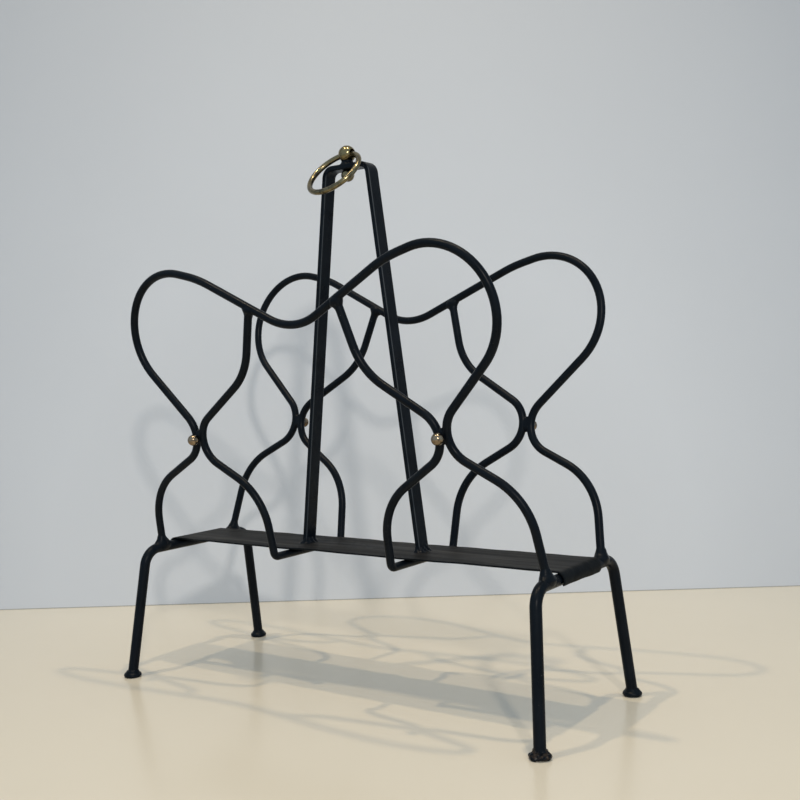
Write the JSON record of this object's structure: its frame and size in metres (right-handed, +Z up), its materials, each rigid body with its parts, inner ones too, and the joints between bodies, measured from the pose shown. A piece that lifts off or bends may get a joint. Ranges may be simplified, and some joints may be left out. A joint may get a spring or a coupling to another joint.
{
  "type": "newspaper rack",
  "caption": "Free-standing rack of bent black rod that holds newspapers on edge, with a sheet tray, splayed legs, a tall flat-bar handle and a brass ring.",
  "frame": {"origin": "on the floor, below the middle of the rack", "axes": "+Z up, X along the rack with its length, Y across it between the two side panels, front panel at -Y"},
  "size_m": [0.3837, 0.1694, 0.4117],
  "materials": {
    "black_lacquer": "satin blue-black lacquer over hand-worked iron rod",
    "tray_paint": "matt black-brown paint, worn and wiped lengthwise",
    "aged_brass": "polished brass darkened by age",
    "stud_steel": "plain steel stud"
  },
  "bodies": {
    "root": {"back_outer_rod": "black_lacquer", "ball_knob": "aged_brass", "ball_nut": "aged_brass", "foot_back_left": "black_lacquer", "foot_back_right": "black_lacquer", "foot_front_left": "black_lacquer", "foot_front_right": "black_lacquer", "front_outer_rod": "black_lacquer", "handle_bar": "black_lacquer", "handle_stud": "stud_steel", "handle_weld_left": "black_lacquer", "handle_weld_right": "black_lacquer", "left_inner_rod": "black_lacquer", "left_leg_frame": "black_lacquer", "rail_weld_back_left": "black_lacquer", "rail_weld_back_right": "black_lacquer", "rail_weld_front_left": "black_lacquer", "rail_weld_front_right": "black_lacquer", "right_inner_rod": "black_lacquer", "right_leg_frame": "black_lacquer", "run_weld_left": "black_lacquer", "run_weld_right": "black_lacquer", "top_weld_back_left": "black_lacquer", "top_weld_back_right": "black_lacquer", "top_weld_front_left": "black_lacquer", "top_weld_front_right": "black_lacquer", "tray": "tray_paint", "tray_weld_left": "black_lacquer", "tray_weld_right": "black_lacquer", "waist_ball_back_left": "aged_brass", "waist_ball_back_right": "aged_brass", "waist_ball_front_left": "aged_brass", "waist_ball_front_right": "aged_brass", "waist_weld_back_left": "black_lacquer", "waist_weld_back_right": "black_lacquer", "waist_weld_front_left": "black_lacquer", "waist_weld_front_right": "black_lacquer"},
    "ring": {"lifting_ring": "aged_brass"}
  },
  "joints": [
    {"name": "ring_swing", "type": "hinge", "parent": "root", "child": "ring", "pos_m": [-0.002, 0, 0.4051], "axis": [-0.9945, 0.1045, 0], "range_deg": [0, 262]}
  ]
}
